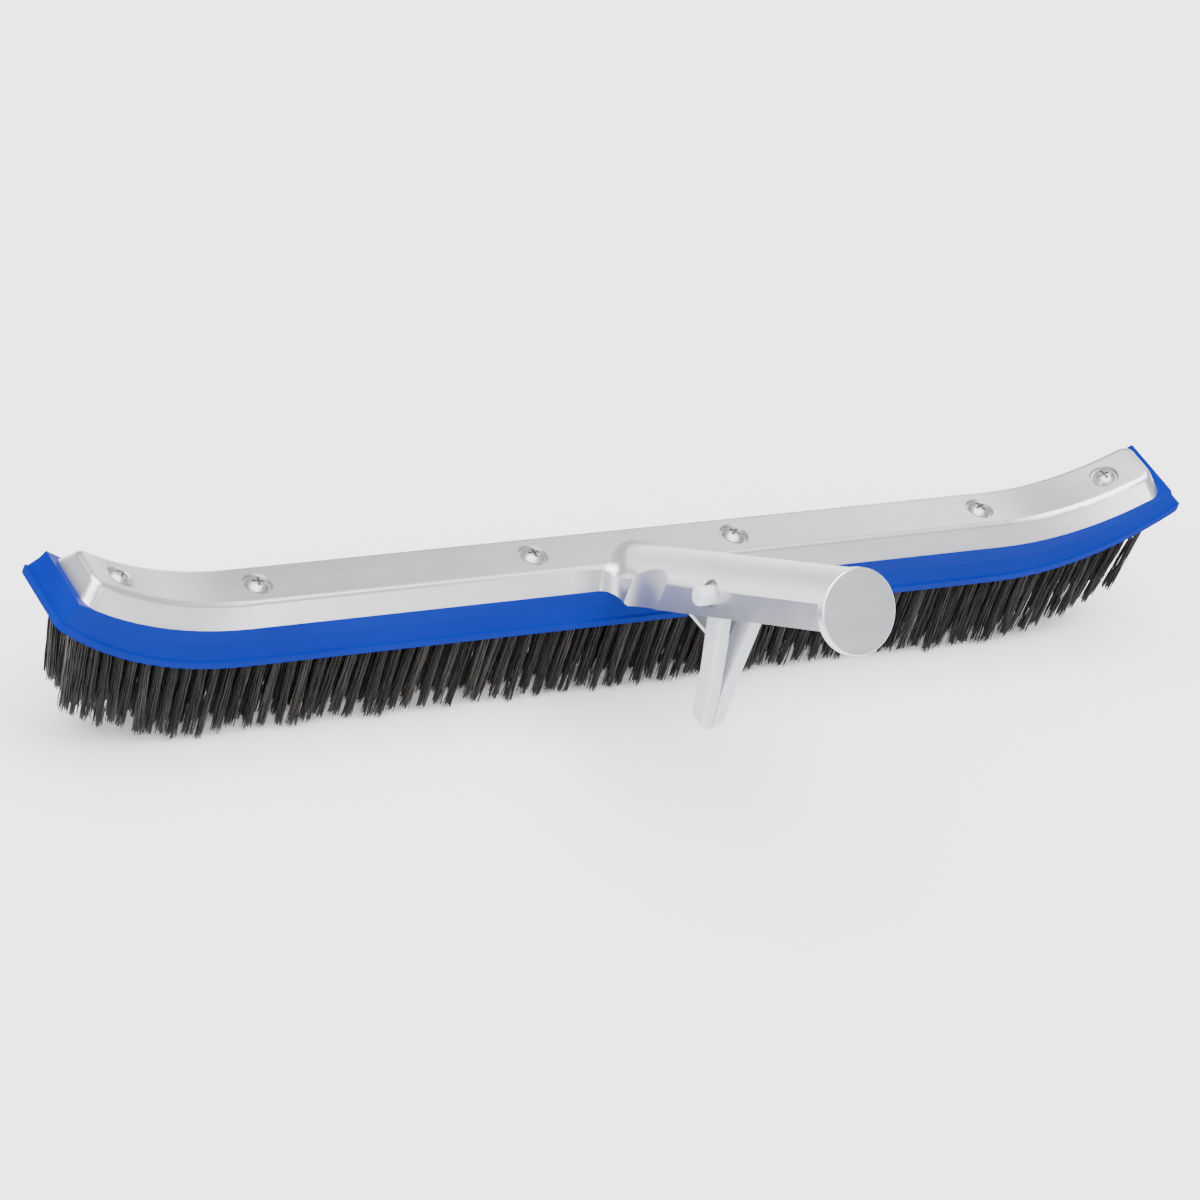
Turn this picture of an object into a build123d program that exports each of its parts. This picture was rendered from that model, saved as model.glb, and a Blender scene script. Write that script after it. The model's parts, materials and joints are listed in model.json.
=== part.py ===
"""Pool wall brush: die-cast aluminium back with a pole handle, moulded bristle block and spring clip.

Millimetres, +Z up, +X along the brush. The origin is the centre of the brushing face,
at the tips of the middle tufts. Each sub-part is written to parts/NODE.step.
"""

import os
from math import asin, cos, degrees, radians, sin

from build123d import *

# --- brush head -------------------------------------------------------------------------------
TUFT_REACH = 31.5        # tuft length below the lip of the block
BLOCK_HEIGHT = 14.6      # lip to the ledge that carries the casting
CAST_HEIGHT = 7.9        # ledge to the top face of the casting
LIP_Z = TUFT_REACH
LEDGE_Z = LIP_Z + BLOCK_HEIGHT
TOP_Z = LEDGE_Z + CAST_HEIGHT

FLAT_HALF = 152.3        # half-length of the straight middle, where the end curves start
END_RADIUS = 120.5       # radius of the end curves, on the top face and on the lip
CURVE_CENTRE_Z = TOP_Z + END_RADIUS
LIP_CENTRE_Z = LIP_Z + END_RADIUS

# --- cast back ----------------------------------------------------------------------------------
TOP_HALF_WIDTH = 8.8
FLANGE_HALF_WIDTH = 12.9
TOP_END_ANGLE = 30.1     # where the top face ends, along the end curve
FLANGE_END_ANGLE = 30.3
SKIN = 2.6               # thickness of the top
SIDE_WALL = 2.3
CORNER_ROUND = 4.6
EDGE_ROUND = 2.2
END_WALL_ANGLE = 1.2      # thickness of the plate's end walls, as an angle of the end curve
SWEEP_REACH = 40         # how far the section tools turn round the end curves

SCREW_STATIONS = (40.9, 146.6, 200.1)    # distance along the top face from the middle
DIMPLE_RADIUS = 5.3
DIMPLE_DEPTH = 1.3
BOSS_RADIUS = 4.6
SCREW_HOLE_RADIUS = 2.2

# --- handle, in its own axes: t along the handle from the end face, u across it, away from the head
HANDLE_PITCH = 35.4
HANDLE_END_Y = -115.8
HANDLE_END_Z = TOP_Z + 65.6
HANDLE_RADIUS = 14.3
HANDLE_TOP = 13.9        # the end disc stands proud of the handle
CHANNEL_START = -93.0
CHANNEL_HALF = 11.3
CHANNEL_ROOF = 12.0
HANDLE_START = -106.0
END_WALL = 3.2
WALL_BOTTOM = -5.5       # lower edge of the open channel's side walls
SEAM_HEIGHT = 4.0        # parting line, where the round top meets the side walls
SEAM_HALF_WIDTH = 13.0
SEAM_STEP = 0.3
WALL_DRAFT = 0.2
SIDE_HOLE_RADIUS = 4.7
SIDE_HOLE_RISE = 0.45    # the clip hangs low in its holes

# --- neck ---------------------------------------------------------------------------------------
NECK_REACH = 46.0
ROOT_BOTTOM = -18.0
ROOT_TRIM_START = -119.0
NECK_BLEND = 6.0
SCOOP_Y = -29.0
SCOOP_HALF_CHORD = 11.0
SCOOP_DEPTH = 3.3
NECK_BACK = 4.0          # how far behind the middle the neck's root runs inside the plate
NECK_HOLLOW_HALF = 7.6
NECK_HOLLOW_ROOF = 11.5
NECK_HOLLOW_START = -128.0
WEB_STATION = -83.0
WEB_THICKNESS = 2.4
WEB_TOP_HALF = 12.0
WEB_TOP = 6.0
WEB_BOTTOM_HALF = 5.3
WEB_BOTTOM = -12.6

# --- bristle block -----------------------------------------------------------------------------
LEDGE_HALF_WIDTH = 13.4
LIP_HALF_WIDTH = 14.8
LIP_BAND = 3.0
LIP_STEP = 0.55
LIP_END_X = 226.8
LIP_CORNER = 2.2         # roundness of the lip's four corners, seen from above
LEDGE_END_ANGLE = 31.8
FACE_RECESS = 2.0        # the tuft face sits this far above the lip
RIM_WALL = 1.8
PLINTH_RISE = 3.0        # the raised strip inside the casting
PLINTH_HALF_WIDTH = 7.6
PLINTH_END_ANGLE = 28.6

# --- tufts ----------------------------------------------------------------------------------------
ROW_Y = (-9.9, -3.3, 3.3, 9.9)
TUFT_PITCH = 5.7
LAST_TUFT = 223.0        # furthest a tuft may be along the lip from the middle
TUFT_HOLE_RADIUS = 1.95
TUFT_HOLE_DEPTH = 7.5
TUFT_ROOT_RADIUS = 1.85
TUFT_TIP_RADIUS = 2.1
END_TILT = 9.0           # the end tufts lean inward by this angle
ANCHOR_SIZE = 0.5
ANCHOR_LENGTH = 3.4

# --- screws ---------------------------------------------------------------------------------------
HEAD_RADIUS = 4.0
HEAD_HEIGHT = 2.5
SHANK_RADIUS = 1.9
SCREW_BITE = 7.0
PILOT_RADIUS = 1.95
POINT_LENGTH = 2.0
RECESS_SPAN = 4.4
RECESS_WIDTH = 0.9
RECESS_DEPTH = 1.7
SCREW_TURN = 37.0        # each cross stopped at its own angle

# --- V clip, in its own axes: s down the clip from the buttons, x across the brush ------------
CLIP_T = -67.0
CLIP_U = 2.0
CLIP_LEAN = 6.7          # from the vertical, towards the handle's end
CLIP_WIDTH = 8.0
CLIP_HINGE = 44.0
CLIP_LENGTH = 53.0
ARM_FOOT_X = 2.2
ARM_FOOT_RADIUS = 2.05
FOOT_CLEARANCE = 0.05
YOKE_TOP = 45.0
YOKE_TIP_RADIUS = 3.9
BUTTON_RADIUS = 3.1
BUTTON_END_X = 18.6
BUTTON_DOME = 1.0

OVER = 1.0               # how far cutting tools run past a face
JOIN = 0.01              # how far pieces of one casting run into each other
ROOM = 200.0             # size of tools that only have to be large


def side_plane(station_x=0.0):
    """The plane seen from the side: local x runs along +Y, local y up."""
    return Plane(origin=(station_x, 0, 0), x_dir=(0, 1, 0), z_dir=(1, 0, 0))


def front_plane():
    """The plane seen from the front: local x runs along +X, local y up."""
    return Plane(origin=(0, 0, 0), x_dir=(1, 0, 0), z_dir=(0, -1, 0))


def swept_bar(section_points, centre_z, reach):
    """A YZ section carried along the straight middle and round both end curves."""
    section = side_plane(-FLAT_HALF) * Polygon(*section_points, align=None)
    bar = extrude(section, 2 * FLAT_HALF, dir=(1, 0, 0))
    for side in (-1, 1):
        end = side_plane(side * FLAT_HALF) * Polygon(*section_points, align=None)
        hinge = Axis((side * FLAT_HALF, 0, centre_z), (0, -side, 0))
        bar += revolve(end, hinge, reach)
    return bar


def arc_point(centre_z, radius, angle):
    """A point of the right-hand end curve, by its angle from the start of the curve."""
    return (FLAT_HALF + radius * sin(radians(angle)), centre_z - radius * cos(radians(angle)))


def mirrored(point):
    """A point on the other side of the middle."""
    return (-point[0], point[1])


def end_curve(centre_z, radius, angle):
    """The right-hand end curve, from its start to an angle."""
    return ThreePointArc(
        arc_point(centre_z, radius, 0),
        arc_point(centre_z, radius, angle / 2),
        arc_point(centre_z, radius, angle),
    )


def outline(top_centre, top_radius, top_angle, low_centre, low_radius, low_angle, end_points=()):
    """The side view between two end-curved lines, as a face that both ends share."""
    right_top = end_curve(top_centre, top_radius, top_angle)
    right_low = end_curve(low_centre, low_radius, low_angle)
    chain = [right_top @ 1, *end_points, right_low @ 1]
    chain = [(p.X, p.Y) if isinstance(p, Vector) else p for p in chain]
    right_end = Polyline(*chain)
    left_end = Polyline(*[mirrored(p) for p in chain])
    left_top = mirror(right_top, Plane.YZ)
    left_low = mirror(right_low, Plane.YZ)
    top_line = Line(mirrored(arc_point(top_centre, top_radius, 0)), arc_point(top_centre, top_radius, 0))
    low_line = Line(mirrored(arc_point(low_centre, low_radius, 0)), arc_point(low_centre, low_radius, 0))
    edges = [right_top, right_low, right_end, left_end, left_top, left_low, top_line, low_line]
    return make_face(Curve() + edges)


def slab(face, half_width):
    """A side-view face, extruded to both sides of the middle plane."""
    placed = front_plane() * face
    return extrude(placed, half_width, both=True)


def head_frame(distance, centre_z, radius):
    """Point and upward direction at a distance along an end-curved line, measured on the top face."""
    side = 1 if distance >= 0 else -1
    angle = max(abs(distance) - FLAT_HALF, 0) / END_RADIUS
    straight = min(abs(distance), FLAT_HALF)
    x = side * (straight + radius * sin(angle))
    z = centre_z - radius * cos(angle)
    return Vector(x, 0, z), Vector(-side * sin(angle), 0, cos(angle))


def screw_places():
    """Point on the top face and outward direction of each screw."""
    for station in SCREW_STATIONS:
        for side in (-1, 1):
            yield head_frame(side * station, CURVE_CENTRE_Z, END_RADIUS)


def plug(start, direction, radius, length, end_radius=None):
    """A cylinder or cone frustum from a point along a direction."""
    base = Plane(origin=start, z_dir=direction)
    low = (Align.CENTER, Align.CENTER, Align.MIN)
    if end_radius is None:
        return base * Cylinder(radius, length, align=low)
    return base * Cone(radius, end_radius, length, align=low)


def handle_plane(t=0.0, u=0.0):
    """The plane across the handle: local x along +X, local y along u, normal towards the end face."""
    pitch = radians(HANDLE_PITCH)
    along = Vector(0, -cos(pitch), sin(pitch))
    across = Vector(0, sin(pitch), cos(pitch))
    origin = Vector(0, HANDLE_END_Y, HANDLE_END_Z) + along * t + across * u
    return Plane(origin=origin, x_dir=(1, 0, 0), z_dir=along)


def round_top():
    """The handle's round upper side, from seam to seam."""
    return ThreePointArc((-SEAM_HALF_WIDTH, SEAM_HEIGHT), (0, HANDLE_TOP), (SEAM_HALF_WIDTH, SEAM_HEIGHT))


def channel_profile():
    """Outer section of the handle: a round top over nearly upright side walls."""
    wall_x = SEAM_HALF_WIDTH - SEAM_STEP
    foot_x = wall_x - WALL_DRAFT
    walls = Polyline(
        (SEAM_HALF_WIDTH, SEAM_HEIGHT), (wall_x, SEAM_HEIGHT - 2 * SEAM_STEP), (foot_x, WALL_BOTTOM),
        (-foot_x, WALL_BOTTOM), (-wall_x, SEAM_HEIGHT - 2 * SEAM_STEP), (-SEAM_HALF_WIDTH, SEAM_HEIGHT),
    )
    return make_face(Curve() + [round_top(), walls])


def plate_outer():
    """The plate's outer shape: flat top, sloping flanges and end walls, rounded at its corners."""
    section = [
        (-FLANGE_HALF_WIDTH, LEDGE_Z), (-TOP_HALF_WIDTH, TOP_Z), (TOP_HALF_WIDTH, TOP_Z),
        (FLANGE_HALF_WIDTH, LEDGE_Z),
    ]
    face = outline(
        CURVE_CENTRE_Z, END_RADIUS, TOP_END_ANGLE,
        CURVE_CENTRE_Z, END_RADIUS + CAST_HEIGHT, FLANGE_END_ANGLE,
    )
    outer = swept_bar(section, CURVE_CENTRE_Z, SWEEP_REACH) & slab(face, FLANGE_HALF_WIDTH + OVER)
    outer = fillet([e for e in outer.edges() if is_corner(e)], CORNER_ROUND)
    return fillet([e for e in outer.edges() if is_top_rim(e)], EDGE_ROUND)


def plate_cavity():
    """The hollow under the plate, open at the ledge."""
    roof_z = TOP_Z - SKIN
    roof_half = TOP_HALF_WIDTH - SIDE_WALL + 0.8
    mouth_half = FLANGE_HALF_WIDTH - SIDE_WALL
    section = [
        (-mouth_half, LEDGE_Z - OVER), (-roof_half, roof_z), (roof_half, roof_z),
        (mouth_half, LEDGE_Z - OVER),
    ]
    face = outline(
        CURVE_CENTRE_Z, END_RADIUS + SKIN, TOP_END_ANGLE - END_WALL_ANGLE,
        CURVE_CENTRE_Z, END_RADIUS + CAST_HEIGHT + OVER, FLANGE_END_ANGLE - END_WALL_ANGLE,
    )
    return swept_bar(section, CURVE_CENTRE_Z, SWEEP_REACH) & slab(face, FLANGE_HALF_WIDTH)


def radial_depth(point):
    """Depth of a point below the top face."""
    x = abs(point.X)
    if x <= FLAT_HALF:
        return TOP_Z - point.Z
    return ((x - FLAT_HALF) ** 2 + (CURVE_CENTRE_Z - point.Z) ** 2) ** 0.5 - END_RADIUS


def is_corner(edge):
    """The four short edges where a flange meets an end wall."""
    ends = [edge @ 0, edge @ 1]
    depths = sorted(radial_depth(p) for p in ends)
    return depths[0] < 0.1 and depths[1] > CAST_HEIGHT - 0.1 and abs(edge.center().X) > FLAT_HALF


def is_top_rim(edge):
    """Edges that lie in the top face."""
    return all(abs(radial_depth(edge @ f)) < 0.02 for f in (0, 0.5, 1)) and edge.length > 0.5


def bosses():
    """Six screw posts between the roof and the plinth, with their holes and dimples as tools."""
    posts = []
    holes = []
    post_length = CAST_HEIGHT - PLINTH_RISE
    for point, up in screw_places():
        posts.append(plug(point - up * 1.5, -up, BOSS_RADIUS, post_length - 1.6))
        holes.append(plug(point + up * OVER, -up, SCREW_HOLE_RADIUS, post_length + 2 * OVER))
        bottom = point - up * DIMPLE_DEPTH
        holes.append(plug(bottom, up, DIMPLE_RADIUS - 0.5, 1.5 * DIMPLE_DEPTH, DIMPLE_RADIUS + 0.25))
    return posts, holes


def handle_solid(start, end):
    """The handle's outer shape between two stations."""
    return extrude(handle_plane(start) * channel_profile(), end - start)


def neck_root():
    """The smooth-walled root of the handle, from inside the plate to the channel."""
    half = SEAM_HALF_WIDTH
    walls = Polyline((half, SEAM_HEIGHT), (half, ROOT_BOTTOM), (-half, ROOT_BOTTOM), (-half, SEAM_HEIGHT))
    profile = make_face(Curve() + [round_top(), walls])
    root = extrude(handle_plane(HANDLE_START - NECK_REACH) * profile, NECK_REACH)
    return root & Pos(0, NECK_BACK - ROOM / 2, LEDGE_Z - 4 * OVER + ROOM / 2) * Box(ROOM, ROOM, ROOM)


def is_neck_seam(edge):
    """Edges where the neck's root meets the plate."""
    points = [edge @ f for f in (0, 0.5, 1)]
    low = min(p.Z for p in points)
    level = abs((edge @ 0).Z - (edge @ 1).Z) < JOIN and abs(low - LEDGE_Z) < JOIN
    near = all(abs(p.X) < SEAM_HALF_WIDTH + 0.1 and p.Y < 2 and p.Z < TOP_Z + JOIN for p in points)
    along_plate = abs((edge @ 0).Y - (edge @ 1).Y) < JOIN and edge.length < 20
    return near and low > LEDGE_Z - JOIN and not level and not along_plate


def neck_scoops():
    """Two upright cylinders that waist the neck between the plate and the handle."""
    radius = (SCOOP_HALF_CHORD**2 + SCOOP_DEPTH**2) / (2 * SCOOP_DEPTH)
    limit = Box(2 * SEAM_HALF_WIDTH + 6, ROOM, ROOM)
    axis_x = HANDLE_RADIUS - SCOOP_DEPTH + radius
    feet = [Vector(side * axis_x, SCOOP_Y, LEDGE_Z - 5) for side in (-1, 1)]
    return [plug(foot, (0, 0, 1), radius, 60) & limit for foot in feet]


def root_trim():
    """What hangs below the root between the plate and the handle's lower edge."""
    depth = ROOM / 4
    corner = handle_plane(ROOT_TRIM_START, WALL_BOTTOM - depth / 2)
    return extrude(corner * Rectangle(ROOM / 4, depth), HANDLE_START - ROOT_TRIM_START + OVER)


def neck_cavity():
    """The hollow of the neck, open to the channel and underneath."""
    profile = handle_plane(NECK_HOLLOW_START) * arch(NECK_HOLLOW_HALF, NECK_HOLLOW_ROOF)
    return extrude(profile, CHANNEL_START - NECK_HOLLOW_START + OVER)


def arch(half_width, roof):
    """An upside-down U that is open well below the channel."""
    spring = roof - half_width
    top = ThreePointArc((-half_width, spring), (0, roof), (half_width, spring))
    foot = -ROOM / 6
    legs = Polyline((half_width, spring), (half_width, foot), (-half_width, foot), (-half_width, spring))
    return make_face(Curve() + [top, legs])


def channel_cavity():
    """The inside of the handle, open underneath."""
    profile = handle_plane(CHANNEL_START) * arch(CHANNEL_HALF, CHANNEL_ROOF)
    return extrude(profile, -END_WALL - CHANNEL_START)


def clip_axes():
    """The buttons' axis point, and the clip's downward and forward directions."""
    pivot = handle_plane(CLIP_T, CLIP_U).origin
    lean = radians(CLIP_LEAN)
    return pivot, Vector(0, -sin(lean), -cos(lean)), Vector(0, -cos(lean), sin(lean))


def web():
    """The trapezoid rib across the channel, behind the clip."""
    low = WALL_BOTTOM + 0.5
    shape = Polygon(
        (-WEB_TOP_HALF, WEB_TOP), (-WEB_TOP_HALF, low), (-WEB_BOTTOM_HALF, WEB_BOTTOM),
        (WEB_BOTTOM_HALF, WEB_BOTTOM), (WEB_TOP_HALF, low), (WEB_TOP_HALF, WEB_TOP),
        align=None,
    )
    return extrude(handle_plane(WEB_STATION) * shape, WEB_THICKNESS, dir=handle_plane().z_dir)


def side_hole():
    """One drill through both side walls, for the clip's buttons."""
    pivot, down, _ = clip_axes()
    start = pivot - down * SIDE_HOLE_RISE - Vector(ROOM / 4, 0, 0)
    return plug(start, (1, 0, 0), SIDE_HOLE_RADIUS, ROOM / 2)


def cast_back():
    """The whole die-casting: plate, neck and handle in one piece."""
    posts, holes = bosses()
    body = plate_outer() + neck_root()
    body = fillet([e for e in body.edges() if is_neck_seam(e)], NECK_BLEND)
    body += handle_solid(HANDLE_START, -END_WALL)
    body -= root_trim()
    for scoop in neck_scoops():
        body -= scoop
    body &= Pos(0, 0, LEDGE_Z + ROOM / 2) * Box(3 * ROOM, 2 * ROOM, ROOM)
    body = body - plate_cavity() - neck_cavity() - channel_cavity()
    for post in posts:
        body += post
    disc = plug(handle_plane(-END_WALL).origin, handle_plane().z_dir, HANDLE_RADIUS, END_WALL)
    body += chamfer(disc.edges().sort_by(Axis.Z)[-1], 0.4)
    body += web()
    body -= side_hole()
    for hole in holes:
        body -= hole
    return body


# --- block ----------------------------------------------------------------------------------------
def bristle_block():
    """The moulded block: flared skirt with a lip, plinth, tuft holes and screw pilots."""
    right = [
        (LEDGE_HALF_WIDTH, LEDGE_Z + 6),
        (LEDGE_HALF_WIDTH + 0.1, LIP_Z + 0.62 * BLOCK_HEIGHT),
        (LIP_HALF_WIDTH - LIP_STEP, LIP_Z + LIP_BAND),
        (LIP_HALF_WIDTH, LIP_Z + LIP_BAND - 0.6),
        (LIP_HALF_WIDTH, LIP_Z),
    ]
    section = [mirrored(point) for point in reversed(right)] + right
    lip_angle = degrees(asin((LIP_END_X - FLAT_HALF) / END_RADIUS))
    ledge_radius = END_RADIUS + CAST_HEIGHT
    band_outer = Vector(*arc_point(LIP_CENTRE_Z, END_RADIUS - LIP_BAND + 0.6, lip_angle + 0.25))
    band_inner = Vector(*arc_point(LIP_CENTRE_Z, END_RADIUS - LIP_BAND, lip_angle - 0.2))
    ledge_end = Vector(*arc_point(CURVE_CENTRE_Z, ledge_radius, LEDGE_END_ANGLE))
    waist = band_inner * 0.45 + ledge_end * 0.55 + Vector(-0.35, -0.25)
    face = outline(
        CURVE_CENTRE_Z, ledge_radius, LEDGE_END_ANGLE,
        LIP_CENTRE_Z, END_RADIUS, lip_angle, (waist, band_inner, band_outer),
    )
    body = swept_bar(section, LIP_CENTRE_Z, SWEEP_REACH + 5) & slab(face, LIP_HALF_WIDTH + OVER)
    plan = Plane.XY * RectangleRounded(2 * LIP_END_X, 2 * LIP_HALF_WIDTH, LIP_CORNER)
    body &= extrude(plan, ROOM)
    body += block_plinth()
    body -= block_recess(lip_angle)
    for point, up in screw_places():
        body -= plug(point - up * (CAST_HEIGHT - PLINTH_RISE - OVER), -up, PILOT_RADIUS, SCREW_BITE + OVER)
    holes = [
        plug(root, down, TUFT_HOLE_RADIUS, TUFT_HOLE_DEPTH + FACE_RECESS)
        for row in range(len(ROW_Y)) for root, down in tuft_places(row)
    ]
    return body - holes


def block_plinth():
    """The raised strip that sits inside the casting."""
    top = LEDGE_Z + PLINTH_RISE
    section = [
        (-PLINTH_HALF_WIDTH, LEDGE_Z - OVER), (-PLINTH_HALF_WIDTH, top), (PLINTH_HALF_WIDTH, top),
        (PLINTH_HALF_WIDTH, LEDGE_Z - OVER),
    ]
    face = outline(
        CURVE_CENTRE_Z, END_RADIUS + CAST_HEIGHT - PLINTH_RISE, PLINTH_END_ANGLE,
        CURVE_CENTRE_Z, END_RADIUS + CAST_HEIGHT + OVER / 2, PLINTH_END_ANGLE,
    )
    return swept_bar(section, CURVE_CENTRE_Z, SWEEP_REACH) & slab(face, PLINTH_HALF_WIDTH + OVER)


def block_recess(lip_angle):
    """The shallow tray inside the lip, whose roof is the tuft face."""
    half = LIP_HALF_WIDTH - RIM_WALL
    section = [
        (-half, LIP_Z - OVER), (-half + 0.4, LIP_Z + FACE_RECESS), (half - 0.4, LIP_Z + FACE_RECESS),
        (half, LIP_Z - OVER),
    ]
    rim_angle = degrees(RIM_WALL / END_RADIUS)
    face = outline(
        LIP_CENTRE_Z, END_RADIUS - FACE_RECESS, lip_angle - rim_angle,
        LIP_CENTRE_Z, END_RADIUS + OVER, lip_angle - rim_angle,
    )
    return swept_bar(section, LIP_CENTRE_Z, SWEEP_REACH + 5) & slab(face, half + OVER)


# --- tufts ----------------------------------------------------------------------------------------
def tuft_places(row):
    """Bottom of each tuft hole of a row and the direction in which the tuft hangs."""
    shift = TUFT_PITCH / 2 if row % 2 else 0.0
    count = int((LAST_TUFT - shift) // TUFT_PITCH)
    stations = [shift + TUFT_PITCH * i for i in range(-count - row % 2, count + 1)]
    for station in stations:
        side = 1 if station >= 0 else -1
        angle = max(abs(station) - FLAT_HALF, 0) / END_RADIUS
        face_radius = END_RADIUS - FACE_RECESS
        x = side * (min(abs(station), FLAT_HALF) + face_radius * sin(angle))
        z = LIP_CENTRE_Z - face_radius * cos(angle)
        tilt = radians(END_TILT) * angle * END_RADIUS / (LAST_TUFT - FLAT_HALF)
        down = Vector(-side * sin(tilt), 0, -cos(tilt))
        yield Vector(x, ROW_Y[row], z) - down * TUFT_HOLE_DEPTH, down


def tuft_row(row):
    """One row of wire tufts, each as one solid of its outer shape."""
    length = TUFT_HOLE_DEPTH + FACE_RECESS + TUFT_REACH - ANCHOR_SIZE - 0.1
    tufts = [
        plug(root + down * (ANCHOR_SIZE + 0.1), down, TUFT_ROOT_RADIUS, length, TUFT_TIP_RADIUS)
        for root, down in tuft_places(row)
    ]
    return Compound(children=tufts)


def anchor_row(row):
    """The flat wire anchor at the bottom of each hole of a row."""
    anchors = []
    for root, down in tuft_places(row):
        place = Plane(origin=root + down * (ANCHOR_SIZE / 2 + 0.02), x_dir=(0, 1, 0), z_dir=down)
        anchors.append(place * Box(ANCHOR_LENGTH, ANCHOR_SIZE, ANCHOR_SIZE))
    return Compound(children=anchors)


# --- screws ---------------------------------------------------------------------------------------
def screw():
    """A pan head self-tapping screw with a cross recess, head up, seated at z = 0."""
    reach = CAST_HEIGHT - PLINTH_RISE - DIMPLE_DEPTH + SCREW_BITE - 0.3
    profile = make_face(Curve() + [
        Polyline((0, HEAD_HEIGHT), (0, -reach), (SHANK_RADIUS, -reach + POINT_LENGTH), (SHANK_RADIUS, 0),
                 (HEAD_RADIUS, 0), (HEAD_RADIUS, 0.8)),
        ThreePointArc((HEAD_RADIUS, 0.8), (2.6, 2.1), (0, HEAD_HEIGHT)),
    ])
    body = revolve(Plane.XZ * profile, Axis.Z)
    depth = HEAD_HEIGHT - RECESS_DEPTH / 2 + 0.2
    for turn in (0, 90):
        body -= Pos(0, 0, depth) * Rot(0, 0, turn) * Box(RECESS_SPAN, RECESS_WIDTH, RECESS_DEPTH)
    return body


def back_screws():
    """The six screws that hold the block to the casting."""
    placed = []
    for number, (point, up) in enumerate(screw_places()):
        seat = Plane(origin=point - up * DIMPLE_DEPTH, x_dir=(0, 1, 0), z_dir=up)
        placed.append(seat * (Rot(0, 0, SCREW_TURN * number) * screw()))
    return Compound(children=placed)


# --- clip -------------------------------------------------------------------------------------------
def clip_plane():
    """The V's plane: local x along +X, local y up the clip, origin at the buttons' axis."""
    pivot, _, forward = clip_axes()
    return Plane(origin=pivot, x_dir=(1, 0, 0), z_dir=forward)


def clip_slab(shape):
    """A shape in the V's plane at the clip's full width."""
    return extrude(clip_plane() * shape, CLIP_WIDTH / 2, both=True)


def clip_arm(side):
    """One arm of the V with its button; side is -1 for the left arm and 1 for the right."""
    edge = [
        (8.0, 4.2), (8.9, 3.0), (9.6, 0), (9.2, -9), (7.8, -20), (ARM_FOOT_X + 1.99, -CLIP_HINGE + 0.5),
        (ARM_FOOT_X - 1.9, -CLIP_HINGE + 0.8), (2.45, -20), (4.15, -9), (5.3, 0), (5.6, 4.2),
    ]
    shape = Polygon(*[(side * x, y) for x, y in edge], align=None)
    arm = clip_slab(shape + Pos(side * ARM_FOOT_X, -CLIP_HINGE) * Circle(ARM_FOOT_RADIUS))
    pivot = clip_axes()[0]
    button_length = BUTTON_END_X - 7.5
    button = plug(pivot + Vector(side * 7.5, 0, 0), (side, 0, 0), BUTTON_RADIUS, button_length)
    button = fillet(button.edges().sort_by(Axis.X)[-1 if side > 0 else 0], BUTTON_DOME)
    return arm + button


def clip_yoke():
    """The lower bend of the V, with a seat for the foot of each arm."""
    tip = Pos(0, -CLIP_LENGTH + YOKE_TIP_RADIUS) * Circle(YOKE_TIP_RADIUS)
    shoulder = ARM_FOOT_X + 1.8
    stem = Polygon(
        (-shoulder, -YOKE_TOP), (shoulder, -YOKE_TOP), (YOKE_TIP_RADIUS, -CLIP_LENGTH + YOKE_TIP_RADIUS),
        (-YOKE_TIP_RADIUS, -CLIP_LENGTH + YOKE_TIP_RADIUS), align=None,
    )
    shape = stem + tip
    for side in (-1, 1):
        shape -= Pos(side * ARM_FOOT_X, -CLIP_HINGE) * Circle(ARM_FOOT_RADIUS + FOOT_CLEARANCE)
    return clip_slab(shape)


def main():
    """Builds every node and writes it to its file."""
    os.makedirs("parts", exist_ok=True)
    nodes = {
        "cast_back": cast_back(),
        "bristle_block": bristle_block(),
        "back_screws": back_screws(),
        "clip_yoke": clip_yoke(),
        "clip_arm_left": clip_arm(-1),
        "clip_arm_right": clip_arm(1),
    }
    for row in range(len(ROW_Y)):
        nodes[f"tuft_row_{row + 1}"] = tuft_row(row)
        nodes[f"tuft_anchors_{row + 1}"] = anchor_row(row)
    for name, node in nodes.items():
        export_step(node, f"parts/{name}.step")


main()
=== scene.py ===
"""Pool wall brush: cast aluminium back, blue moulded block, wire tufts and a white spring clip."""

import json
import random
from math import cos, pi, radians, sin, sqrt

import bpy
from mathutils import Matrix, Vector


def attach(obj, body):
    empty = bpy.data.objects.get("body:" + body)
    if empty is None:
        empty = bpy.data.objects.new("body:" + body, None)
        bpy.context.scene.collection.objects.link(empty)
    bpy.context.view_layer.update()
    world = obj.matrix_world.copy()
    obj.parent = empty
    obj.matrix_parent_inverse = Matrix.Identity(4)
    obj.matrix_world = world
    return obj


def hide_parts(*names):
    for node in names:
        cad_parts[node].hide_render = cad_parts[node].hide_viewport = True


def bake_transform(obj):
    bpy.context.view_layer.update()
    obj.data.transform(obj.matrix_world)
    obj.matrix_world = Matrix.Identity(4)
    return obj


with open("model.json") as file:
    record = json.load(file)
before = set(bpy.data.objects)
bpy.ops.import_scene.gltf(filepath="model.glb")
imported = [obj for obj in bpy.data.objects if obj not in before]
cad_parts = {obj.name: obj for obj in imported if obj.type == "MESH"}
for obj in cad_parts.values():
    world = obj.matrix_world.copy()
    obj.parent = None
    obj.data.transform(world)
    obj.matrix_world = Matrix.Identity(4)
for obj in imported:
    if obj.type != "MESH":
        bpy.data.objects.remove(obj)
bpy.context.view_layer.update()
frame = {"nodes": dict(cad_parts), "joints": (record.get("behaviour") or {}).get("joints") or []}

MM = 0.001
DICE = random.Random(11)

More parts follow.
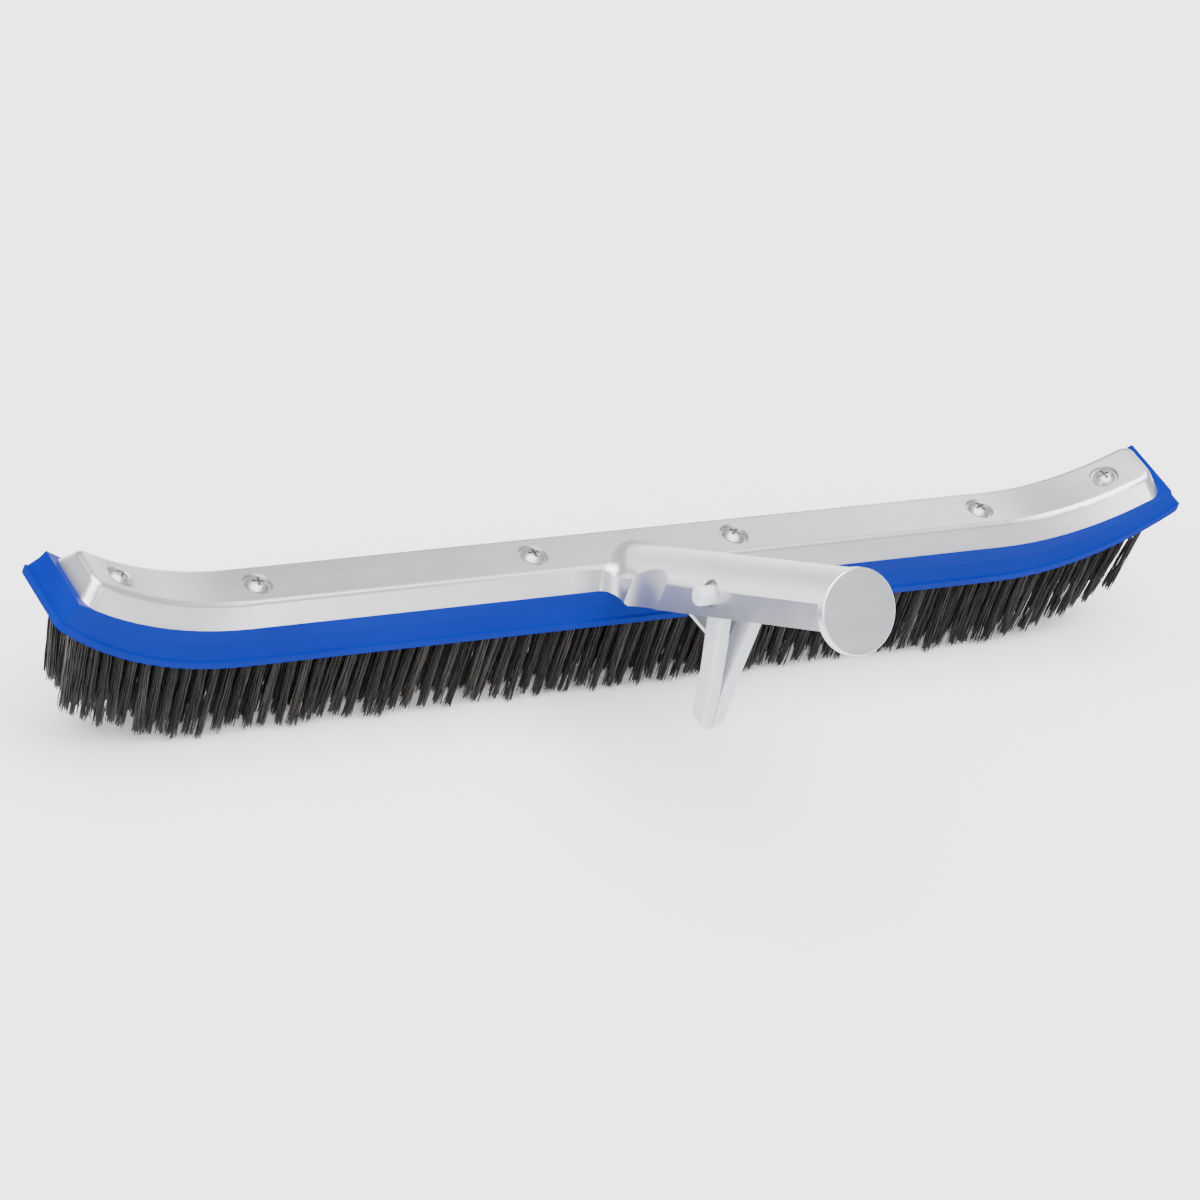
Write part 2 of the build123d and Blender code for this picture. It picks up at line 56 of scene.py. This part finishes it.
# tuft layout, in millimetres, as drilled in the block
ROW_Y = (-9.9, -3.3, 3.3, 9.9)
TUFT_PITCH = 5.7
LAST_TUFT = 223.0
FLAT_HALF = 152.3
END_RADIUS = 120.5
LIP_Z = 31.5
FACE_RECESS = 2.0
END_TILT = 9.0

# the wires of a tuft, in millimetres
WIRES_PER_TUFT = 28
WIRE_RADIUS = 0.23
WIRE_STEPS = 9
WIRE_SIDES = 3
WIRE_ROOT = -3.0         # how far inside its hole a wire starts
BUNDLE_RADIUS = 1.55
LONGEST_WIRE = 34.6
END_EXTRA = 1.6          # the end tufts are a little longer
END_EXTRA_AT = 220.0
CRIMP_PITCH = 0.52       # turns of the crimp, in radians for each millimetre

# spring clip, in millimetres: distance down the clip, outer and inner half-width
CLIP_TOP = -4.2
CLIP_BEND = 49.3
CLIP_TIP = 53.9
CLIP_OUTER = (
    (CLIP_TOP, 8.2), (-3.0, 8.9), (0.0, 9.6), (9.0, 9.2),
    (20.0, 7.7), (32.0, 6.0), (44.0, 4.9), (CLIP_BEND, 4.6),
)
CLIP_INNER = (
    (CLIP_TOP, 5.6), (0.0, 5.2), (9.0, 4.1), (20.0, 2.4),
    (32.0, 1.0), (38.0, 0.25), (40.0, 0.02), (CLIP_BEND, 0.02),
)
CLIP_DEPTH = 4.0
CLIP_ROUND = 1.1
CLIP_STATIONS = 28
TIP_STATIONS = 9
SPLIT_HALF = 0.02        # half the gap between the two halves below the V
BUTTON_RADIUS = 3.3
BUTTON_ROOT = 7.5
BUTTON_END = 18.6
BUTTON_EDGE = 1.1
BUTTON_CROWN = 0.12
BUTTON_SIDES = 32

# stage and camera, in metres
FLOOR_HALF = 6.0
FLOOR_LEVEL = -0.0025
CAMERA_PLACE = (-0.9120, -1.0714, 1.02175)
CAMERA_RIGHT = (0.84462552, -0.45911275, 0.27536017)
CAMERA_UP = (0.09330942, 0.63272239, 0.76873645)
CAMERA_BACK = (-0.52716325, -0.62360072, 0.57725302)
CAMERA_LENS = 149.7
CAMERA_SENSOR = 36.0


# small helpers
def joint(name):
    """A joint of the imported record, by name."""
    return next(j for j in frame["joints"] if j["name"] == name)


def mesh_object(name, points, faces, smooth=True):
    """A new object from points in metres and faces."""
    mesh = bpy.data.meshes.new(name)
    mesh.from_pydata(points, [], faces)
    mesh.validate()
    mesh.polygons.foreach_set("use_smooth", [smooth] * len(mesh.polygons))
    made = bpy.data.objects.new(name, mesh)
    bpy.context.collection.objects.link(made)
    return made


def curve_value(points, at):
    """Straight-line interpolation in a list of pairs."""
    for (s0, v0), (s1, v1) in zip(points, points[1:]):
        if at <= s1:
            return v0 + (v1 - v0) * (at - s0) / (s1 - s0)
    return points[-1][1]


# materials
def new_material(name):
    """An empty node material with its principled shader."""
    material = bpy.data.materials.new(name)
    material.use_nodes = True
    tree = material.node_tree
    return material, tree.nodes, tree.links, tree.nodes["Principled BSDF"]


def noise(nodes, links, scale, detail=3.0, stretch=(1, 1, 1)):
    """A noise texture in object coordinates; scale is in cells per metre."""
    place = nodes.new("ShaderNodeTexCoord")
    shape = nodes.new("ShaderNodeMapping")
    shape.inputs["Scale"].default_value = stretch
    texture = nodes.new("ShaderNodeTexNoise")
    texture.inputs["Scale"].default_value = scale
    texture.inputs["Detail"].default_value = detail
    links.new(place.outputs["Object"], shape.inputs["Vector"])
    links.new(shape.outputs["Vector"], texture.inputs["Vector"])
    return texture.outputs["Fac"]


def ramp(nodes, links, factor, stops):
    """A colour ramp through (position, colour) stops."""
    node = nodes.new("ShaderNodeValToRGB")
    while len(node.color_ramp.elements) < len(stops):
        node.color_ramp.elements.new(0.5)
    for element, (position, colour) in zip(node.color_ramp.elements, stops):
        element.position = position
        element.color = (*colour, 1)
    links.new(factor, node.inputs["Fac"])
    return node.outputs["Color"]


def spread(nodes, links, factor, low, high):
    """A factor mapped to a range of values."""
    node = nodes.new("ShaderNodeMapRange")
    node.inputs["From Min"].default_value = 0.3
    node.inputs["From Max"].default_value = 0.7
    node.inputs["To Min"].default_value = low
    node.inputs["To Max"].default_value = high
    links.new(factor, node.inputs["Value"])
    return node.outputs["Result"]


def add_bump(nodes, links, shader, heights, distance):
    """Bumps from several height factors, added one after the other."""
    normal = None
    for factor, strength in heights:
        bump = nodes.new("ShaderNodeBump")
        bump.inputs["Strength"].default_value = strength
        bump.inputs["Distance"].default_value = distance
        links.new(factor, bump.inputs["Height"])
        if normal is not None:
            links.new(normal, bump.inputs["Normal"])
        normal = bump.outputs["Normal"]
    links.new(normal, shader.inputs["Normal"])


def cast_aluminium():
    """Tumbled die-cast aluminium: fine grain, faint cloudy patches, satin."""
    material, nodes, links, shader = new_material("cast_aluminium")
    shader.inputs["Metallic"].default_value = 0.93
    grain = noise(nodes, links, 2600, 2.0)
    cloud = noise(nodes, links, 30, 2.0)
    flow = noise(nodes, links, 180, 2.0, (0.15, 1, 1))
    colour = ramp(nodes, links, cloud, [(0.3, (0.57, 0.57, 0.595)), (0.7, (0.62, 0.62, 0.645))])
    links.new(colour, shader.inputs["Base Color"])
    links.new(spread(nodes, links, flow, 0.30, 0.35), shader.inputs["Roughness"])
    add_bump(nodes, links, shader, [(grain, 0.05), (flow, 0.04)], 0.0002)
    return material


def blue_plastic():
    """Royal-blue moulding with a slight ripple from the tool."""
    material, nodes, links, shader = new_material("blue_plastic")
    ripple = noise(nodes, links, 60, 2.0, (0.3, 1, 1))
    fine = noise(nodes, links, 1800, 2.0)
    colour = ramp(nodes, links, ripple, [(0.3, (0.0007, 0.0095, 0.165)), (0.7, (0.0009, 0.012, 0.19))])
    links.new(colour, shader.inputs["Base Color"])
    links.new(spread(nodes, links, ripple, 0.34, 0.42), shader.inputs["Roughness"])
    shader.inputs["IOR"].default_value = 1.18
    shader.inputs["Specular IOR Level"].default_value = 0.25
    add_bump(nodes, links, shader, [(ripple, 0.05), (fine, 0.04)], 0.0003)
    return material


def zinc_steel():
    """Bright zinc-plated screw steel with fine turning marks."""
    material, nodes, links, shader = new_material("zinc_steel")
    marks = noise(nodes, links, 3000, 2.0)
    patch = noise(nodes, links, 500, 3.0)
    colour = ramp(nodes, links, patch, [(0.3, (0.34, 0.34, 0.345)), (0.7, (0.50, 0.50, 0.505))])
    links.new(colour, shader.inputs["Base Color"])
    shader.inputs["Metallic"].default_value = 1.0
    links.new(spread(nodes, links, patch, 0.34, 0.44), shader.inputs["Roughness"])
    add_bump(nodes, links, shader, [(marks, 0.15)], 0.0001)
    return material


def clip_plastic():
    """Natural white plastic that lets some light through."""
    material, nodes, links, shader = new_material("clip_plastic")
    haze = noise(nodes, links, 160, 3.0)
    fine = noise(nodes, links, 1500, 2.0)
    colour = ramp(nodes, links, haze, [(0.3, (0.50, 0.515, 0.56)), (0.7, (0.58, 0.59, 0.63))])
    links.new(colour, shader.inputs["Base Color"])
    links.new(spread(nodes, links, haze, 0.34, 0.46), shader.inputs["Roughness"])
    shader.inputs["Subsurface Weight"].default_value = 0.35
    shader.inputs["Subsurface Radius"].default_value = (0.003, 0.003, 0.003)
    shader.inputs["Subsurface Scale"].default_value = 1.0
    add_bump(nodes, links, shader, [(fine, 0.08)], 0.0002)
    return material


def dark_wire():
    """Oiled dark wire: each strand its own shade, some tufts lighter than others."""
    material, nodes, links, shader = new_material("dark_wire")
    strand = noise(nodes, links, 1300, 1.0, (1, 1, 0.03))
    tuft = noise(nodes, links, 170, 1.0, (1, 1, 0.05))
    both = nodes.new("ShaderNodeMath")
    both.operation = "ADD"
    links.new(strand, both.inputs[0])
    links.new(tuft, both.inputs[1])
    half = nodes.new("ShaderNodeMath")
    half.operation = "MULTIPLY"
    half.inputs[1].default_value = 0.5
    links.new(both.outputs[0], half.inputs[0])
    stops = [
        (0.36, (0.003, 0.0026, 0.0024)),
        (0.50, (0.012, 0.0105, 0.0095)),
        (0.62, (0.044, 0.041, 0.037)),
    ]
    links.new(ramp(nodes, links, half.outputs[0], stops), shader.inputs["Base Color"])
    shader.inputs["Specular IOR Level"].default_value = 0.3
    links.new(spread(nodes, links, strand, 0.40, 0.60), shader.inputs["Roughness"])
    return material


def anchor_wire():
    """Flat drawn wire of the tuft anchors."""
    material, nodes, links, shader = new_material("anchor_wire")
    drawn = noise(nodes, links, 900, 2.0, (1, 0.2, 1))
    colour = ramp(nodes, links, drawn, [(0.3, (0.35, 0.35, 0.36)), (0.7, (0.55, 0.55, 0.56))])
    links.new(colour, shader.inputs["Base Color"])
    shader.inputs["Metallic"].default_value = 1.0
    links.new(spread(nodes, links, drawn, 0.3, 0.45), shader.inputs["Roughness"])
    return material


def paint_node(node, material):
    """Gives a CAD node its material."""
    made = frame["nodes"][node]
    made.data.materials.clear()
    made.data.materials.append(material)


# tufts
def tuft_places(row):
    """Mouth of each tuft hole of a row, and the direction in which the tuft hangs, in millimetres."""
    shift = TUFT_PITCH / 2 if row % 2 else 0.0
    count = int((LAST_TUFT - shift) // TUFT_PITCH)
    face_radius = END_RADIUS - FACE_RECESS
    for i in range(-count - row % 2, count + 1):
        station = shift + TUFT_PITCH * i
        side = 1 if station >= 0 else -1
        angle = max(abs(station) - FLAT_HALF, 0) / END_RADIUS
        x = side * (min(abs(station), FLAT_HALF) + face_radius * sin(angle))
        z = LIP_Z + END_RADIUS - face_radius * cos(angle)
        tilt = radians(END_TILT) * angle * END_RADIUS / (LAST_TUFT - FLAT_HALF)
        yield Vector((x, ROW_Y[row], z)), Vector((-side * sin(tilt), 0, -cos(tilt)))


def wire_path(mouth, down, reach, lean):
    """The crimped line of one wire, from inside its hole to its tip."""
    turn = DICE.uniform(0, 2 * pi)
    root = BUNDLE_RADIUS * sqrt(DICE.random())
    start = Vector((root * cos(turn), root * sin(turn), 0))
    stray = DICE.uniform(-0.05, 0.35)
    flare = start * stray + Vector((DICE.gauss(0, 0.22), DICE.gauss(0, 0.22), 0)) + lean
    crimp_turn = DICE.uniform(0, 2 * pi)
    crimp = Vector((cos(crimp_turn), sin(crimp_turn), 0)) * DICE.uniform(0.08, 0.24)
    phase = DICE.uniform(0, 2 * pi)
    points = []
    for step in range(WIRE_STEPS + 1):
        along = WIRE_ROOT + (reach - WIRE_ROOT) * step / WIRE_STEPS
        share = max(along, 0) / reach
        wave = crimp * sin(phase + along * CRIMP_PITCH) * min(1, share * 4)
        points.append(mouth + down * along + start + flare * share**1.4 + wave)
    return points


def add_wire(points, faces, path):
    """A three-sided tube along a wire's line, closed at both ends."""
    turns = [2 * pi * k / WIRE_SIDES for k in range(WIRE_SIDES)]
    base = len(points)
    for step, place in enumerate(path):
        radius = WIRE_RADIUS * (0.7 if step == WIRE_STEPS else 1.0)
        ring = [place + Vector((radius * cos(a), radius * sin(a), 0)) for a in turns]
        points.extend(corner * MM for corner in ring)
    for step in range(WIRE_STEPS):
        for side in range(WIRE_SIDES):
            a = base + WIRE_SIDES * step + side
            b = base + WIRE_SIDES * step + (side + 1) % WIRE_SIDES
            faces.append((a, a + WIRE_SIDES, b + WIRE_SIDES, b))
    top = base + WIRE_SIDES * WIRE_STEPS
    faces.append((top, top + 2, top + 1))
    faces.append((base, base + 1, base + 2))


def tuft_wires(row):
    """All wires of one row of tufts as one mesh."""
    points, faces = [], []
    outward = 0.35 * ROW_Y[row] / ROW_Y[-1]
    for mouth, down in tuft_places(row):
        lean = Vector((DICE.gauss(0, 0.8), DICE.gauss(0, 0.5) + outward, 0))
        extra = END_EXTRA * (mouth.x / END_EXTRA_AT) ** 4
        reach = LIP_Z + FACE_RECESS + DICE.gauss(0, 1.0) + extra
        for _ in range(WIRES_PER_TUFT):
            length = reach + DICE.gauss(0, 0.35) - DICE.expovariate(1.8)
            add_wire(points, faces, wire_path(mouth, down, min(length, LONGEST_WIRE + extra), lean))
    return mesh_object(f"wire_tufts_{row + 1}", points, faces)


# spring clip
def clip_axes():
    """Button axis point, downward and forward directions of the clip, from its joints."""
    pivot = Vector(joint("clip_swing")["pos_m"])
    foot = Vector(joint("squeeze_left")["pos_m"])
    down = (Vector((0, foot.y, foot.z)) - pivot).normalized()
    forward = Vector(joint("squeeze_right")["axis"]).normalized()
    return pivot, down, forward


def rounded_loop(low, high, depth, corner, steps=5):
    """A rounded rectangle between two half-widths, as (across, forward) pairs."""
    corner = min(corner, (high - low) * 0.48, depth * 0.9)
    centres = (
        (high - corner, depth - corner, 0),
        (low + corner, depth - corner, 90),
        (low + corner, -depth + corner, 180),
        (high - corner, -depth + corner, 270),
    )
    loop = []
    for cx, cy, start in centres:
        for k in range(steps + 1):
            a = radians(start + 90 * k / steps)
            loop.append((cx + corner * cos(a), cy + corner * sin(a)))
    return loop


def clip_stations():
    """Stations down one half of the clip: distance, inner and outer half-width, half-depth."""
    stations = []
    for k in range(CLIP_STATIONS + 1):
        s = CLIP_TOP + (CLIP_BEND - CLIP_TOP) * k / CLIP_STATIONS
        rounding = min(1.0, (k + 0.6) / 2.2)
        low, high = curve_value(CLIP_INNER, s), curve_value(CLIP_OUTER, s)
        middle, half = (low + high) / 2, (high - low) / 2 * sqrt(rounding)
        depth = CLIP_DEPTH * (0.86 + 0.14 * rounding)
        stations.append((s, middle - half, middle + half, depth))
    tip_radius = CLIP_OUTER[-1][1]
    centre = CLIP_TIP - tip_radius
    for k in range(1, TIP_STATIONS + 1):
        a = radians(88 * k / TIP_STATIONS)
        depth = CLIP_DEPTH * (0.3 + 0.7 * sqrt(cos(a)))
        width = max(tip_radius * cos(a), 0.2)
        stations.append((centre + tip_radius * sin(a), SPLIT_HALF, width, depth))
    return stations


def button_profile():
    """The button's outline, as (distance out, radius) pairs."""
    shoulder = BUTTON_END - BUTTON_EDGE
    neck = BUTTON_RADIUS - BUTTON_EDGE
    profile = [(BUTTON_ROOT, BUTTON_RADIUS), (shoulder, BUTTON_RADIUS)]
    profile += [
        (shoulder + BUTTON_EDGE * sin(a), neck + BUTTON_EDGE * cos(a)) for a in (0.4, 0.8, 1.2, pi / 2)
    ]
    profile.append((BUTTON_END + BUTTON_CROWN, 0.6))
    return profile


def clip_half(name, side):
    """One arm of the V down to the middle of its bend, with its button."""
    pivot, down, forward = clip_axes()
    across = Vector((side, 0, 0))
    points, faces = [], []
    loops = []
    for s, low, high, depth in clip_stations():
        ring = rounded_loop(low, high, depth, CLIP_ROUND)
        loops.append(range(len(points), len(points) + len(ring)))
        points.extend(pivot + (across * u + forward * v + down * s) * MM for u, v in ring)
    add_tube(faces, loops)
    loops = []
    for u, radius in button_profile():
        loops.append(range(len(points), len(points) + BUTTON_SIDES))
        for k in range(BUTTON_SIDES):
            a = 2 * pi * k / BUTTON_SIDES
            points.append(pivot + (across * u + (forward * cos(a) + down * sin(a)) * radius) * MM)
    add_tube(faces, loops)
    made = mesh_object(name, points, faces)
    bpy.context.view_layer.objects.active = made
    bpy.ops.object.select_all(action="DESELECT")
    made.select_set(True)
    bpy.ops.object.mode_set(mode="EDIT")
    bpy.ops.mesh.select_all(action="SELECT")
    bpy.ops.mesh.normals_make_consistent(inside=False)
    bpy.ops.object.mode_set(mode="OBJECT")
    made.data.set_sharp_from_angle(angle=radians(40))
    return made


def add_tube(faces, loops):
    """Faces between successive loops, and a cap at each end."""
    count = len(loops[0])
    for lower, upper in zip(loops, loops[1:]):
        for k in range(count):
            n = (k + 1) % count
            faces.append((lower[k], lower[n], upper[n], upper[k]))
    faces.append(tuple(reversed(loops[0])))
    faces.append(tuple(loops[-1]))


# stage
def make_floor():
    """A plain pale floor under the tuft tips."""
    signs = ((-1, -1), (1, -1), (1, 1), (-1, 1))
    corners = [(x * FLOOR_HALF, y * FLOOR_HALF, FLOOR_LEVEL) for x, y in signs]
    floor = mesh_object("floor", corners, [(0, 1, 2, 3)], smooth=False)
    material, _, _, shader = new_material("floor_pale")
    shader.inputs["Base Color"].default_value = (0.93, 0.93, 0.93, 1)
    shader.inputs["Roughness"].default_value = 0.9
    floor.data.materials.append(material)


def area_light(name, place, target, size, power):
    """A soft square light that looks at a point."""
    data = bpy.data.lights.new(name, "AREA")
    data.size = size
    data.energy = power
    light = bpy.data.objects.new(name, data)
    light.location = place
    light.rotation_euler = (Vector(target) - Vector(place)).to_track_quat("-Z", "Y").to_euler()
    bpy.context.collection.objects.link(light)


def make_lights():
    """Soft studio light: an even room, a wide overhead softbox and three smaller lights."""
    world = bpy.data.worlds.new("studio")
    world.use_nodes = True
    world.node_tree.nodes["Background"].inputs["Color"].default_value = (0.96, 0.97, 1, 1)
    world.node_tree.nodes["Background"].inputs["Strength"].default_value = 0.9
    bpy.context.scene.world = world
    overhead = bpy.data.lights.new("overhead", "SUN")
    overhead.energy = 9.0
    overhead.angle = radians(75)
    softbox = bpy.data.objects.new("overhead", overhead)
    softbox.rotation_euler = (radians(8), radians(-10), 0)
    bpy.context.collection.objects.link(softbox)
    area_light("left", (-1.5, -0.6, 0.7), (0, 0, 0.05), 0.7, 14)
    area_light("front", (0.62, -2.38, 0.50), (-0.15, 0, 0.05), 0.6, 16)
    area_light("back", (1.75, 1.35, 1.15), (0.1, 0, 0.05), 0.9, 7)


def make_camera():
    """The camera, turned about its own axis as well as aimed."""
    data = bpy.data.cameras.new("camera")
    data.lens = CAMERA_LENS
    data.sensor_width = CAMERA_SENSOR
    data.clip_start, data.clip_end = 0.05, 30
    camera = bpy.data.objects.new("camera", data)
    turn = Matrix((CAMERA_RIGHT, CAMERA_UP, CAMERA_BACK)).transposed().to_4x4()
    camera.matrix_world = Matrix.Translation(CAMERA_PLACE) @ turn
    bpy.context.collection.objects.link(camera)
    bpy.context.scene.camera = camera


def main():
    """Paints the CAD nodes, replaces the soft ones and sets the stage."""
    paint_node("cast_back", cast_aluminium())
    paint_node("bristle_block", blue_plastic())
    paint_node("back_screws", zinc_steel())
    anchors = anchor_wire()
    wires = dark_wire()
    for row in range(len(ROW_Y)):
        paint_node(f"tuft_anchors_{row + 1}", anchors)
        tufts = tuft_wires(row)
        tufts.data.materials.append(wires)
        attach(tufts, "head")
        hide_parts(f"tuft_row_{row + 1}")

    white = clip_plastic()
    for name, side, body, nodes in (
        ("clip_left", -1, "arm_left", ("clip_arm_left", "clip_yoke")),
        ("clip_right", 1, "arm_right", ("clip_arm_right",)),
    ):
        half = clip_half(name, side)
        half.data.materials.append(white)
        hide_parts(*nodes)
        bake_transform(half)

    make_floor()
    make_lights()
    make_camera()


main()
